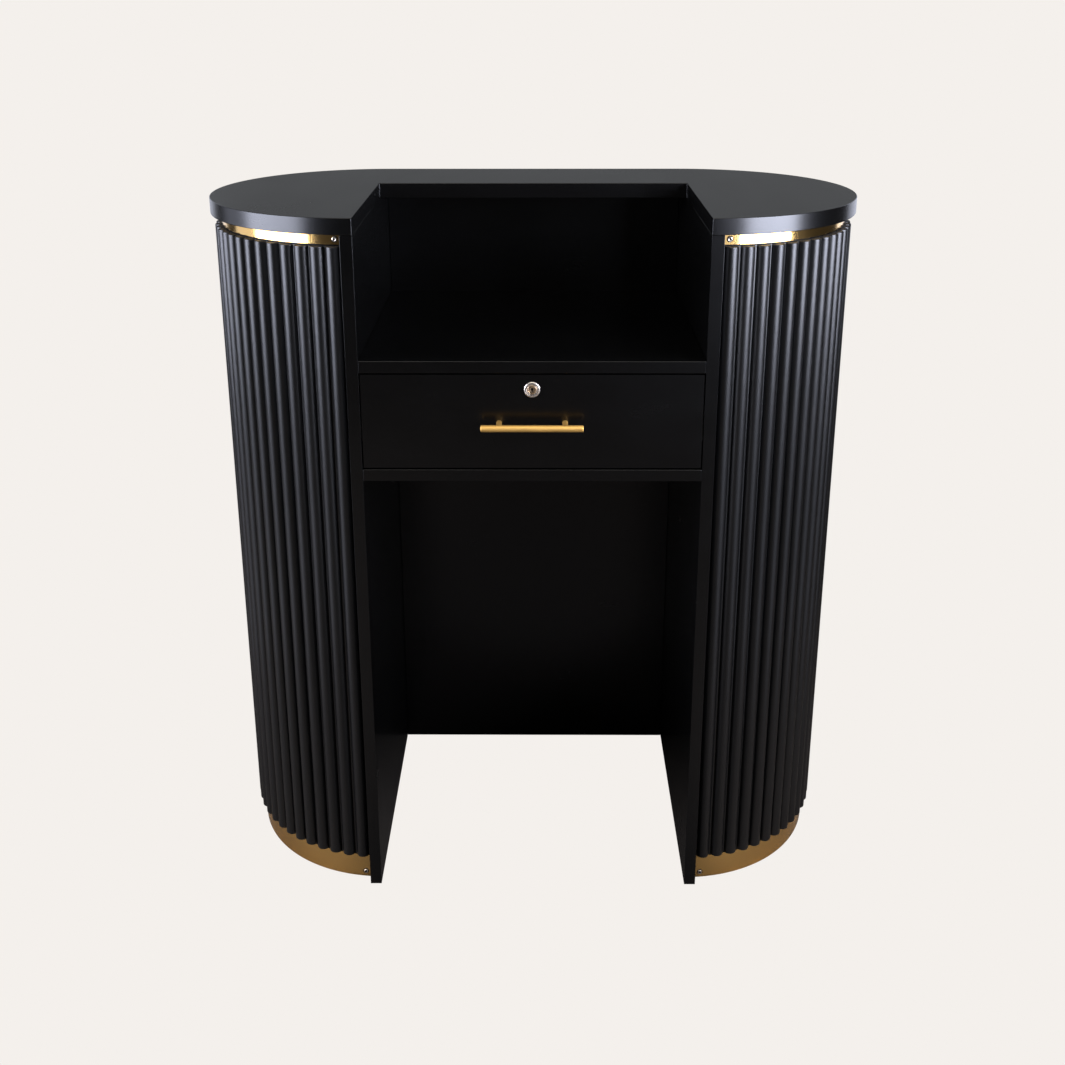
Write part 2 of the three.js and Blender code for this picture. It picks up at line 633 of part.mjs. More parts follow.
// A barrel with a round face through the drawer front, a plug that turns in it, and a case behind
// it. A crank pin on the plug works in the bolt's window and lifts the bolt into the shelf.
function addLock() {
  const bore = PLUG_RADIUS + FIT;
  const faceBack = FACE_Y - FIT;
  const faceFront = faceBack - LOCK_FACE_THICK;
  const barrel = turned(
    [
      [bore, FRONT_BACK_Y],
      [bore, faceFront],
      [LOCK_FACE_RADIUS - LOCK_FACE_EDGE, faceFront],
      [LOCK_FACE_RADIUS, faceFront + LOCK_FACE_EDGE],
      [LOCK_FACE_RADIUS, faceBack],
      [LOCK_BARREL_RADIUS, faceBack],
      [LOCK_BARREL_RADIUS, FRONT_BACK_Y],
      [bore, FRONT_BACK_Y],
    ],
    FINE_SIDES,
  );
  add("lock_barrel", barrel.translate(0, 0, LOCK_Z), chrome);

  const plugEnd = BOLT_FRONT_Y - FIT;
  const plugFront = faceFront - PLUG_PROUD;
  const plug = barAlongY(PLUG_RADIUS, plugFront, plugEnd, 0, LOCK_Z, FINE_SIDES);
  const pin = barAlongY(
    CRANK_PIN_RADIUS,
    plugEnd - CRANK_PIN_ROOT,
    BOLT_BACK_Y - CRANK_PIN_ROOT,
    0,
    LOCK_Z - CRANK,
    SHANK_SIDES,
  );
  const keyway = centredBlock(
    KEYWAY_HALF_WIDTH,
    plugFront - OVERRUN,
    faceFront + KEYWAY_DEPTH,
    LOCK_Z - KEYWAY_HALF_HEIGHT,
    LOCK_Z + KEYWAY_HALF_HEIGHT,
  );
  add("lock_plug", cut(join(plug, pin), keyway), chrome);

  const channelHalf = BOLT_WIDTH / 2 + FIT;
  const caseBlock = centredBlock(CASE_HALF_WIDTH, CASE_FRONT_Y, CASE_BACK_Y, CASE_BOTTOM, CASE_TOP);
  const channel = centredBlock(
    channelHalf,
    CHANNEL_FRONT_Y,
    CHANNEL_BACK_Y,
    BOLT_BOTTOM - FIT,
    CASE_TOP + OVERRUN,
  );
  const start = CASE_FRONT_Y - OVERRUN;
  const end = CASE_BACK_Y + OVERRUN;
  const plugHole = barAlongY(bore, start, CHANNEL_FRONT_Y + OVERRUN, 0, LOCK_Z, FINE_SIDES);
  const screwHoles = [-1, 1].map((sign) => {
    const x = sign * CASE_SCREW_X;
    return barAlongY(CASE_SCREW_SHANK + FIT, start, end, x, LOCK_Z, SHANK_SIDES);
  });
  add("lock_case", cut(caseBlock, channel, plugHole, ...screwHoles), zincSteel);

  // The pin swings through a half turn while the bolt rises evenly with the angle, so the window
  // is taller than the pin by the most that the two come apart, up and down.
  const swingSlack = SWING_SHARE * CRANK;
  const bolt = centredBlock(BOLT_WIDTH / 2, BOLT_FRONT_Y, BOLT_BACK_Y, BOLT_BOTTOM, BOLT_TOP);
  const windowHalf = CRANK_PIN_RADIUS + swingSlack + FIT;
  const windowZ = LOCK_Z - CRANK;
  const reach = CRANK + CRANK_PIN_RADIUS + FIT;
  const window = block(
    -CRANK_PIN_RADIUS - FIT,
    reach,
    BOLT_FRONT_Y - OVERRUN,
    BOLT_BACK_Y + OVERRUN,
    windowZ - windowHalf,
    windowZ + windowHalf,
  );
  add("lock_bolt", cut(bolt, window), chrome);

  const plateTop = SHELF_UNDERSIDE + STRIKE_THICK;
  const plate = strikeBlock(0, SHELF_UNDERSIDE, plateTop);
  add("strike_plate", cut(plate, strikeOpening(STRIKE_THICK + OVERRUN)), zincSteel);

  const fastener = screw(
    CASE_SCREW_HEAD,
    CASE_SCREW_HEAD_HEIGHT,
    CASE_SCREW_SHANK,
    CASE_BACK_Y - FRONT_BACK_Y + CASE_SCREW_GRIP,
  );
  fastener.rotateZ(Math.PI).translate(CASE_SCREW_X, CASE_BACK_Y + FIT, LOCK_Z);
  addBothSides("lock_case_screw", fastener, zincSteel);
}

// ---------------------------------------------------------------- drawer slides

// A hole along X for a slide screw.
function slideScrewHole(y, x0, x1, radius = SLIDE_SCREW_SHANK + FIT) {
  const geometry = new THREE.CylinderGeometry(radius, radius, x1 - x0, SHANK_SIDES);
  return geometry.rotateZ(Math.PI / 2).translate((x0 + x1) / 2, y, SLIDE_Z);
}

// A C-section with its web at x = web and its lips reaching to x = lip.
function channelSection(web, lip, halfHeight) {
  const inward = Math.sign(lip - web);
  const inside = web + inward * SLIDE_GAUGE;
  const top = SLIDE_Z + halfHeight;
  const bottom = SLIDE_Z - halfHeight;
  const section = new THREE.Shape();
  section.moveTo(web, bottom);
  section.lineTo(lip, bottom);
  section.lineTo(lip, bottom + SLIDE_GAUGE);
  section.lineTo(inside, bottom + SLIDE_GAUGE);
  section.lineTo(inside, top - SLIDE_GAUGE);
  section.lineTo(lip, top - SLIDE_GAUGE);
  section.lineTo(lip, top);
  section.lineTo(web, top);
  section.closePath();
  return section;
}

// A flat-headed screw along X. The head fills the web's hole and the shank runs the way `into` says.
function slideScrew(y, webX, into) {
  const headThick = SLIDE_GAUGE;
  const profile = [
    [0, 0],
    [SLIDE_SCREW_HEAD, 0],
    [SLIDE_SCREW_HEAD, headThick],
    [SLIDE_SCREW_SHANK, headThick],
    [SLIDE_SCREW_SHANK, headThick + SLIDE_SCREW_GRIP - SLIDE_SCREW_TIP],
    [0, headThick + SLIDE_SCREW_GRIP],
  ];
  const geometry = turned(profile, SHANK_SIDES).rotateZ((-into * Math.PI) / 2);
  return geometry.translate(webX, y, SLIDE_Z);
}

function addSlides() {
  const outerWeb = END_X - FIT;
  const outerInside = outerWeb - SLIDE_GAUGE;
  const innerWeb = BOX_X + FIT;
  const innerInside = innerWeb + SLIDE_GAUGE;
  const middleWeb = outerInside - SLIDE_RUNNING;
  const middleInside = middleWeb - SLIDE_GAUGE;

  const outerHalf = SLIDE_HEIGHT / 2;
  const middleHalf = outerHalf - SLIDE_GAUGE - SLIDE_OUTER_SPACE;
  const innerHalf = middleHalf - SLIDE_GAUGE - SLIDE_BALL_SPACE;
  const lipX = innerInside + SLIDE_RUNNING;

  const members = {
    slide_outer: channelSection(outerWeb, lipX, outerHalf),
    slide_middle: channelSection(middleWeb, lipX, middleHalf),
    slide_inner: channelSection(innerWeb, middleInside - SLIDE_RUNNING, innerHalf),
  };
  const headHole = SLIDE_SCREW_HEAD + FIT;
  const headHoles = (x0, x1) =>
    SLIDE_SCREW_Y.map((y) => slideScrewHole(y, x0 - OVERRUN, x1 + OVERRUN, headHole));
  const webHoles = {
    slide_outer: headHoles(outerInside, END_X),
    slide_middle: [],
    slide_inner: headHoles(BOX_X, innerInside),
  };
  for (const [name, section] of Object.entries(members)) {
    const member = runAlongY(section, SLIDE_FRONT_Y, BOX_BACK_Y);
    addBothSides(name, cut(member, ...webHoles[name]), zincSteel);
  }

  SLIDE_SCREW_Y.forEach((y, i) => {
    const place = i === 0 ? "front" : "rear";
    addBothSides(`slide_panel_screw_${place}`, slideScrew(y, outerInside, 1), zincSteel);
    addBothSides(`slide_drawer_screw_${place}`, slideScrew(y, innerInside, -1), zincSteel);
  });
}

// ---------------------------------------------------------------- assembly

addCarcass();
addEnds();
addReeding();
addBands();
addDrawer();
addHandle();
addLock();
addSlides();

export default desk;
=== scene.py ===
import json
import math
from contextlib import contextmanager

import bmesh
import bpy
from bpy.props import FloatProperty, FloatVectorProperty, IntProperty, PointerProperty
from mathutils import Matrix, Vector

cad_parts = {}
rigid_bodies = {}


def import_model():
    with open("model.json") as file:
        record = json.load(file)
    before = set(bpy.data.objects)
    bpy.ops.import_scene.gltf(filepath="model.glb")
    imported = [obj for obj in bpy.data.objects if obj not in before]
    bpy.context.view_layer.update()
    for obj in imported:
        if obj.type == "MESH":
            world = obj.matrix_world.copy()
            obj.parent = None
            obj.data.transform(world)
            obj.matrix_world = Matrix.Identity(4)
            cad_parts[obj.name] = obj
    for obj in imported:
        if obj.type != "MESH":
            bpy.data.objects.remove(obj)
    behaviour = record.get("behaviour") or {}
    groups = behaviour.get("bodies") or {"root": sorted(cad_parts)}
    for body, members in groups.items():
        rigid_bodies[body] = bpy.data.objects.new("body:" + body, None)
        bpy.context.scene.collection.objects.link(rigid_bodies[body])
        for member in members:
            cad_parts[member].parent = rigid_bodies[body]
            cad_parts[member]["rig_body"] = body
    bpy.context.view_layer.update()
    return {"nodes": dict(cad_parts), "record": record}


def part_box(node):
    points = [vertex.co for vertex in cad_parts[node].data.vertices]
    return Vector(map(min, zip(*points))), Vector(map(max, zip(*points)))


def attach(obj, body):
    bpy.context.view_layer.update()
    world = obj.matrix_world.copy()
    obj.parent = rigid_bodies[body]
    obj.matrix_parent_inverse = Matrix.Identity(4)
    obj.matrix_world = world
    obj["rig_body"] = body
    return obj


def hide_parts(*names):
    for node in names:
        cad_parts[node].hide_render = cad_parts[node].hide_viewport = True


bl_info = {
    "name": "Reeded service counter",
    "version": (1, 0, 0),
    "blender": (4, 5, 0),
    "location": "3D View > Sidebar > Counter",
    "description": "Builds the finished pieces of a reeded salon counter around its engineering frame",
    "category": "Object",
}

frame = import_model()
MM = 0.001

# ------------------------------------------------------------------ places taken from the frame

TOP_LOW, TOP_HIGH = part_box("countertop")
PANEL_LOW, PANEL_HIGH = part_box("right_side_panel")
END_REEDS_LOW, END_REEDS_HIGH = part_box("right_end_reeding")
BACK_REEDS_LOW, BACK_REEDS_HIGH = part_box("back_reeding")
FRONT_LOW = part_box("drawer_front")[0]

SEAM = 0.3 * MM  # gap between neighbouring pieces
TOUCH = 0.01 * MM  # closer than this counts as the same place
AXIS_X = END_REEDS_LOW.x  # upright axis of the right-hand round end
AXIS_Y = (TOP_LOW.y + TOP_HIGH.y) / 2
WALL_BACK = BACK_REEDS_LOW.y - AXIS_Y  # radius of the cladding's inner face
CREST = BACK_REEDS_HIGH.y - AXIS_Y  # radius over the reeds
SIDES = {"left": -1, "right": 1}
SHADE_ATTRIBUTE = "dirt"  # face attribute: 1 where shade is painted into recesses and round rims, 0 elsewhere


# ------------------------------------------------------------------ what a user would change


class CounterSizes(bpy.types.PropertyGroup):
    """Sizes of the finished edges, reeds and fittings."""

    board_edge: FloatProperty(
        name="Board edge",
        description="Rounding of the lacquered boards' edges",
        default=0.9 * MM, min=0.1 * MM, max=4 * MM, subtype="DISTANCE", unit="LENGTH",
    )
    reed_height: FloatProperty(
        name="Reed height",
        description="How far a reed stands out from its backing",
        default=9 * MM, min=3 * MM, max=12 * MM, subtype="DISTANCE", unit="LENGTH",
    )
    reed_pitch: FloatProperty(
        name="Reed pitch",
        description="Wanted spacing of the reeds along the wall",
        default=24 * MM, min=10 * MM, max=60 * MM, subtype="DISTANCE", unit="LENGTH",
    )
    reed_gap: FloatProperty(
        name="Reed gap",
        description="Flat valley between two reeds",
        default=2.6 * MM, min=0.5 * MM, max=10 * MM, subtype="DISTANCE", unit="LENGTH",
    )
    reed_end: FloatProperty(
        name="Reed end rounding",
        description="Rounding of a reed's top and bottom ends",
        default=1.6 * MM, min=0.2 * MM, max=4 * MM, subtype="DISTANCE", unit="LENGTH",
    )
    round_steps: IntProperty(
        name="Round steps",
        description="Facets of a half turn of the trim bands",
        default=96, min=24, max=256,
    )


class CounterFinishes(bpy.types.PropertyGroup):
    """Colours of the finishes, in linear light."""

    lacquer: FloatVectorProperty(
        name="Black lacquer",
        description="Colour of the lacquered boards and reeds",
        subtype="COLOR", size=3, default=(0.0003, 0.00028, 0.00025), min=0, max=1,
    )
    brass_sheet: FloatVectorProperty(
        name="Trim bands",
        description="Colour of the brass-coloured trim bands",
        subtype="COLOR", size=3, default=(0.92, 0.59, 0.21), min=0, max=1,
    )
    satin_brass: FloatVectorProperty(
        name="Handle",
        description="Colour of the satin brass handle",
        subtype="COLOR", size=3, default=(0.72, 0.435, 0.12), min=0, max=1,
    )
    chrome: FloatVectorProperty(
        name="Chrome",
        description="Colour of the lock's rings and the bands' screws",
        subtype="COLOR", size=3, default=(0.80, 0.72, 0.62), min=0, max=1,
    )
    plug: FloatVectorProperty(
        name="Lock plug",
        description="Colour of the lock's plug",
        subtype="COLOR", size=3, default=(0.46, 0.34, 0.22), min=0, max=1,
    )
    zinc: FloatVectorProperty(
        name="Zinc",
        description="Colour of the drawer slides and hidden fasteners",
        subtype="COLOR", size=3, default=(0.56, 0.57, 0.59), min=0, max=1,
    )
    lining: FloatVectorProperty(
        name="Drawer lining",
        description="Colour of the drawer box",
        subtype="COLOR", size=3, default=(0.016, 0.0155, 0.015), min=0, max=1,
    )
    raw_board: FloatVectorProperty(
        name="Bare board",
        description="Colour of the bare fibreboard inside the round ends",
        subtype="COLOR", size=3, default=(0.30, 0.19, 0.10), min=0, max=1,
    )
    floor: FloatVectorProperty(
        name="Floor",
        description="Colour of the studio floor and backdrop",
        subtype="COLOR", size=3, default=(0.905, 0.871, 0.838), min=0, max=1,
    )


# ------------------------------------------------------------------ shader tools


class Wire:
    """An output socket that takes part in sums. Each operation adds a Math node."""

    def __init__(self, tree, socket):
        self.tree = tree
        self.socket = socket

    def math(self, operation, *others):
        node = self.tree.nodes.new("ShaderNodeMath")
        node.operation = operation
        for slot, value in zip(node.inputs, (self, *others)):
            if isinstance(value, Wire):
                self.tree.links.new(value.socket, slot)
            else:
                slot.default_value = value
        return Wire(self.tree, node.outputs[0])

    def _reflected(self, operation, other):
        node = self.tree.nodes.new("ShaderNodeMath")
        node.operation = operation
        node.inputs[0].default_value = other
        self.tree.links.new(self.socket, node.inputs[1])
        return Wire(self.tree, node.outputs[0])

    def __add__(self, other):
        return self.math("ADD", other)

    def __radd__(self, other):
        return self.math("ADD", other)

    def __sub__(self, other):
        return self.math("SUBTRACT", other)

    def __rsub__(self, other):
        return self._reflected("SUBTRACT", other)

    def __mul__(self, other):
        return self.math("MULTIPLY", other)

    def __rmul__(self, other):
        return self.math("MULTIPLY", other)


class Finish:
    """A material under construction: a Principled shader and the nodes that feed it."""

    def __init__(self, name):
        self.material = bpy.data.materials.new(name)
        self.material.use_nodes = True
        self.tree = self.material.node_tree
        self.tree.nodes.clear()
        output = self.tree.nodes.new("ShaderNodeOutputMaterial")
        self.shader = self.tree.nodes.new("ShaderNodeBsdfPrincipled")
        self.tree.links.new(self.shader.outputs[0], output.inputs["Surface"])
        self.place = self.add("ShaderNodeTexCoord", "Object")

    def add(self, kind, output=0, settings=None, values=None):
        """Adds a node: its settings first, then the values or links of its sockets."""
        node = self.tree.nodes.new(kind)
        for key, value in (settings or {}).items():
            if key == "stops":
                self._set_stops(node.color_ramp, value)
            else:
                setattr(node, key, value)
        for key, value in (values or {}).items():
            if isinstance(value, Wire):
                self.tree.links.new(value.socket, node.inputs[key])
            else:
                node.inputs[key].default_value = value
        return Wire(self.tree, node.outputs[output])

    @staticmethod
    def _set_stops(ramp, stops):
        while len(ramp.elements) < len(stops):
            ramp.elements.new(1.0)
        for element, (position, level) in zip(ramp.elements, stops):
            element.position = position
            element.color = (level, level, level, 1)

    def stretched(self, scale, turn=(0, 0, 0)):
        """Object coordinates scaled along each axis, for grain that runs one way."""
        return self.add(
            "ShaderNodeMapping", "Vector",
            values={"Vector": self.place, "Scale": scale, "Rotation": turn},
        )

    def noise(self, scale, detail=3.0, roughness=0.5, vector=None):
        return self.add(
            "ShaderNodeTexNoise", "Fac",
            values={
                "Vector": vector or self.place,
                "Scale": scale, "Detail": detail, "Roughness": roughness,
            },
        )

    def ramp(self, value, *stops):
        return self.add("ShaderNodeValToRGB", 0, {"stops": stops}, {"Fac": value})

    def dust(self):
        """Sparse fine specks of dust in a lacquer."""
        return self.ramp(self.noise(1500, 1, 0.3), (0.735, 0.0), (0.77, 1.0))

    def painted_shade_mask(self):
        """The piece's own marks of where shade is painted."""
        return self.add("ShaderNodeAttribute", "Fac", {"attribute_name": SHADE_ATTRIBUTE})

    def blend(self, factor, first, second):
        """A colour between two colours. Plain colours are given as three numbers."""
        plain = {6: first, 7: second}
        values = {k: c if isinstance(c, Wire) else (*c, 1) for k, c in plain.items()}
        return self.add("ShaderNodeMix", 2, {"data_type": "RGBA"}, {0: factor, **values})

    def bump(self, height, distance, strength=1.0, under=None):
        values = {"Height": height, "Distance": distance, "Strength": strength}
        if under:
            values["Normal"] = under
        return self.add("ShaderNodeBump", "Normal", values=values)

    def feed(self, **sockets):
        """Sets or links the shader's own sockets; an underscore stands for a space."""
        for key, value in sockets.items():
            socket = self.shader.inputs[key.replace("_", " ")]
            if isinstance(value, Wire):
                self.tree.links.new(value.socket, socket)
            elif hasattr(value, "__len__"):
                socket.default_value = (*value, 1)
            else:
                socket.default_value = value
        return self.material


def scaled(colour, factor):
    return tuple(channel * factor for channel in colour)


# ------------------------------------------------------------------ finishes
#
# A noise's scale is its number of waves in a metre. A relief's depth is given in millimetres.


# Near-black colours of the painted shade in recesses of brass and chrome
PAINTED_SHADE_ON_BRASS = (0.006, 0.004, 0.002)
PAINTED_SHADE_ON_CHROME = (0.004, 0.0035, 0.003)


def black_lacquer(colour):
    """Satin black lacquer: sprayed orange peel, faint cloudiness, wipe marks and dust."""
    finish = Finish("black_lacquer")
    cloud = finish.noise(5, 4, 0.6)
    wipe = finish.noise(9, 5, 0.65, finish.stretched((1.0, 0.35, 2.2), (0.3, 0.2, 0.5)))
    peel = finish.noise(620, 2, 0.4)
    pores = finish.noise(2600, 1, 0.5)
    speck = finish.dust()
    tone = finish.blend(cloud, scaled(colour, 0.82), scaled(colour, 1.22))
    dusty = finish.blend(speck * 0.5, tone, scaled(colour, 2.0))
    relief = finish.bump(peel * 0.75 + pores * 0.25, 0.015 * MM, 0.35)
    return finish.feed(
        Base_Color=dusty,
        Roughness=0.21 + wipe * 0.07 + cloud * 0.03 + speck * 0.05,
        Specular_IOR_Level=0.46,
        Normal=relief,
    )


def reed_lacquer(colour):
    """The same lacquer on machined reeds: faint tool lines run along their length."""
    finish = Finish("reed_lacquer")
    cloud = finish.noise(7, 4, 0.6)
    lines = finish.noise(300, 3, 0.6, finish.stretched((1, 1, 0.012)))
    peel = finish.noise(700, 2, 0.4)
    speck = finish.dust()
    tone = finish.blend(cloud, scaled(colour, 0.85), scaled(colour, 1.2))
    dusty = finish.blend(speck * 0.4, tone, scaled(colour, 2.0))
    normal = finish.add("ShaderNodeNewGeometry", "True Normal")
    upward = finish.add("ShaderNodeSeparateXYZ", "Z", values={"Vector": normal})
    sawn_end = finish.ramp(upward.math("ABSOLUTE"), (0.5, 0.0), (0.8, 1.0))
    relief = finish.bump(peel * 0.85 + lines * 0.15, 0.012 * MM, 0.3)
    return finish.feed(
        Base_Color=dusty,
        Roughness=0.32 + lines * 0.03 + cloud * 0.03 + speck * 0.05 + sawn_end * 0.3,
        Specular_IOR_Level=0.6,
        Normal=relief,
    )


def brass_sheet(colour):
    """Brass-coloured polished sheet: upright grain, slight creases and handling marks."""
    finish = Finish("brass_sheet")
    grain = finish.noise(1.0, 4, 0.6, finish.stretched((1400, 1400, 60)))
    waves = finish.noise(1.0, 1, 0.4, finish.stretched((26, 26, 1.5)))
    creases = (waves - 0.5).math("ABSOLUTE")
    smudge = finish.noise(26, 5, 0.6)
    speckle = finish.noise(900, 2, 0.5)
    dirt = finish.painted_shade_mask()
    tint = finish.blend(smudge, scaled(colour, 0.92), scaled(colour, 1.06))
    grained = finish.blend(speckle * 0.35, tint, scaled(colour, 0.75))
    bent = finish.bump(creases, 1.6 * MM, 0.5)
    return finish.feed(
        # painted shade round the screw heads: near-black, matt and not metallic
        Base_Color=finish.blend(dirt, grained, PAINTED_SHADE_ON_BRASS),
        Metallic=1 - dirt,
        Roughness=0.07 + grain * 0.08 + smudge * 0.06 + dirt * 0.5,
        Normal=finish.bump(grain, 0.015 * MM, 0.5, under=bent),
    )


def satin_brass(colour):
    """Satin brass of the handle: fine turning lines and worn, brighter patches."""
    finish = Finish("satin_brass")
    lines = finish.noise(1.0, 3, 0.6, finish.stretched((60, 2200, 2200)))
    wear = finish.ramp(finish.noise(30, 4, 0.6), (0.42, 0.0), (0.66, 1.0))
    tone = finish.blend(wear, scaled(colour, 0.93), scaled(colour, 1.03))
    relief = finish.bump(lines, 0.01 * MM, 0.4)
    return finish.feed(
        Base_Color=tone,
        Metallic=1.0,
        Roughness=0.56 - wear * 0.08 + lines * 0.06,
        Normal=relief,
    )


def chrome(colour, name="chrome"):
    """Satin chrome with a slight haze and hairline scratches, and painted shade in its recesses."""
    finish = Finish(name)
    haze = finish.noise(140, 4, 0.6)
    scratch = finish.noise(1.0, 2, 0.7, finish.stretched((400, 3000, 5200), (0.2, 0.4, 0.9)))
    dirt = finish.painted_shade_mask()
    bright = finish.blend(haze, scaled(colour, 0.9), scaled(colour, 1.05))
    return finish.feed(
        # painted shade in recesses: near-black, matt and not metallic
        Base_Color=finish.blend(dirt, bright, PAINTED_SHADE_ON_CHROME),
        Metallic=1 - dirt,
        Roughness=0.28 + haze * 0.12 + dirt * 0.4,
        Normal=finish.bump(scratch, 0.006 * MM, 0.4),
    )


def zinc_steel(colour):
    """Rolled, zinc-plated steel: soft spangle and lines along the rolling direction."""
    finish = Finish("zinc_steel")
    spangle = finish.noise(55, 3, 0.7)
    rolled = finish.noise(1.0, 3, 0.6, finish.stretched((1600, 18, 1600)))
    tone = finish.blend(spangle, scaled(colour, 0.78), scaled(colour, 1.12))
    return finish.feed(
        Base_Color=tone,
        Metallic=1.0,
        Roughness=0.26 + spangle * 0.12 + rolled * 0.1,
        Normal=finish.bump(rolled, 0.01 * MM, 0.4),
    )


def drawer_lining(colour):
    """Matt black melamine with a pressed pore texture."""
    finish = Finish("drawer_lining")
    pores = finish.noise(1.0, 4, 0.65, finish.stretched((900, 120, 900)))
    cloud = finish.noise(12, 3, 0.5)
    tone = finish.blend(cloud, scaled(colour, 0.8), scaled(colour, 1.3))
    return finish.feed(
        Base_Color=tone,
        Roughness=0.5 + pores * 0.14,
        Normal=finish.bump(pores, 0.05 * MM, 0.5),
    )


def raw_board(colour):
    """Bare fibreboard: short fibres, darker patches and a dry surface."""
    finish = Finish("raw_board")
    fibre = finish.noise(900, 5, 0.7, finish.stretched((1, 0.5, 0.6)))
    patch = finish.noise(18, 4, 0.6)
    tone = finish.blend(patch, scaled(colour, 0.78), scaled(colour, 1.15))
    fibred = finish.blend(fibre, scaled(colour, 0.6), tone)
    return finish.feed(
        Base_Color=fibred,
        Roughness=0.78 + fibre * 0.15,
        Normal=finish.bump(fibre, 0.08 * MM, 0.6),
    )


FINISHES = {}


def finish_for(look):
    """The material of a record slot or other look, made the first time that it is asked for."""
    if look not in FINISHES:
        colours = bpy.context.scene.counter_finishes
        recipes = {
            "black_lacquer": lambda: black_lacquer(colours.lacquer),
            "black_reeding": lambda: reed_lacquer(colours.lacquer),
            "brass_sheet": lambda: brass_sheet(colours.brass_sheet),
            "satin_brass": lambda: satin_brass(colours.satin_brass),
            "chrome": lambda: chrome(colours.chrome),
            "plug_metal": lambda: chrome(colours.plug, "plug_metal"),
            "zinc_steel": lambda: zinc_steel(colours.zinc),
            "drawer_lining": lambda: drawer_lining(colours.lining),
            "raw_board": lambda: raw_board(colours.raw_board),
        }
        FINISHES[look] = recipes[look]()
    return FINISHES[look]


# ------------------------------------------------------------------ modelling tools


def take_up(piece):
    """Makes a piece the only one selected, and active."""
    bpy.ops.object.select_all(action="DESELECT")
    piece.select_set(True)
    bpy.context.view_layer.objects.active = piece
    return piece


def added(name):
    """The primitive that has just been added, named."""
    piece = bpy.context.object
    piece.name = name
    piece.data.name = name
    return piece


def settle(piece):
    """Puts a piece's place, turn and scale into its mesh."""
    take_up(piece)
    bpy.ops.object.transform_apply(location=True, rotation=True, scale=True)
    return piece


@contextmanager
def editing(piece):
    take_up(piece)
    bpy.ops.object.mode_set(mode="EDIT")
    try:
        yield piece
    finally:
        bpy.ops.object.mode_set(mode="OBJECT")


def choose(piece, kind, test):
    """In edit mode, selects the vertices, edges or faces that pass a test."""
    bpy.ops.mesh.select_mode(type=kind)
    bpy.ops.mesh.select_all(action="DESELECT")
    shape = bmesh.from_edit_mesh(piece.data)
    elements = {"VERT": shape.verts, "EDGE": shape.edges, "FACE": shape.faces}[kind]
    for element in elements:
        if test(element):
            element.select_set(True)
    shape.select_flush_mode()
    bmesh.update_edit_mesh(piece.data)


def soften(piece, width, segments=3, sharpness=math.radians(35)):
    """Rounds every sharp edge."""
    with editing(piece):
        bpy.ops.mesh.select_mode(type="EDGE")
        bpy.ops.mesh.select_all(action="DESELECT")
        bpy.ops.mesh.edges_select_sharp(sharpness=sharpness)
        bpy.ops.mesh.bevel(offset=width, segments=segments, clamp_overlap=True)
    return piece


def close_up(piece):
    """Merges doubled vertices and turns all faces outwards."""
    with editing(piece):
        bpy.ops.mesh.select_all(action="SELECT")
        bpy.ops.mesh.remove_doubles(threshold=TOUCH)
        bpy.ops.mesh.normals_make_consistent(inside=False)
    return piece


def shade(piece, angle=math.radians(40)):
    """Smooth shading that keeps broad faces flat."""
    take_up(piece)
    bpy.ops.object.shade_smooth_by_angle(angle=angle)
    piece.modifiers.new("face_weights", "WEIGHTED_NORMAL").keep_sharp = True
    bpy.ops.object.modifier_apply(modifier="face_weights")
    return piece


def cut_with(piece, *tools):
    """Cuts each tool out of a piece and removes the tool."""
    for tool in tools:
        take_up(piece)
        cut = piece.modifiers.new("cut", "BOOLEAN")
        cut.operation = "DIFFERENCE"
        cut.solver = "EXACT"
        cut.object = tool
        bpy.ops.object.modifier_apply(modifier="cut")
        bpy.data.objects.remove(tool)
    return piece


def joined(name, pieces):
    """Several objects made into one."""
    bpy.ops.object.select_all(action="DESELECT")
    for piece in pieces:
        piece.select_set(True)
    bpy.context.view_layer.objects.active = pieces[0]
    bpy.ops.object.join()
    return added(name)


def paint_shade(piece, test):
    """Marks the faces whose centre passes a test as places of painted shade."""
    mesh = piece.data
    marks = mesh.attributes.get(SHADE_ATTRIBUTE) or mesh.attributes.new(SHADE_ATTRIBUTE, "FLOAT", "FACE")
    for face in mesh.polygons:
        if test(face.center):
            marks.data[face.index].value = 1.0
    return piece


def copied(master, name, turn=None):
    """A copy with its own mesh, moved by a matrix."""
    piece = bpy.data.objects.new(name, master.data.copy())
    bpy.context.scene.collection.objects.link(piece)
    piece.matrix_world = turn or Matrix.Identity(4)
    return piece


def discard(*pieces):
    for piece in pieces:
        bpy.data.objects.remove(piece)


def finished(piece, slot, *nodes, look=None):
    """Gives a piece its finish, its body and the nodes that it stands for.

    The finish is the slot's own unless look names another one.
    """
    piece.data.materials.clear()
    piece.data.materials.append(finish_for(look or slot))
    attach(piece, frame["nodes"][nodes[0]]["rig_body"])
    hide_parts(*nodes)
    return piece


def block(name, low, high):
    """A block between two corners."""
    low, high = Vector(low), Vector(high)
    bpy.ops.object.select_all(action="DESELECT")
    bpy.ops.mesh.primitive_cube_add(size=1, location=(low + high) / 2)
    piece = added(name)
    piece.scale = high - low
    return settle(piece)


def rod(name, radius, start, end, sides=64):
    """A round bar between two points."""
    start, end = Vector(start), Vector(end)
    along = end - start
    bpy.ops.object.select_all(action="DESELECT")
    bpy.ops.mesh.primitive_cylinder_add(
        vertices=sides,
        radius=radius,
        depth=along.length,
        location=(start + end) / 2,
        rotation=along.to_track_quat("Z", "Y").to_euler(),
    )
    return settle(added(name))


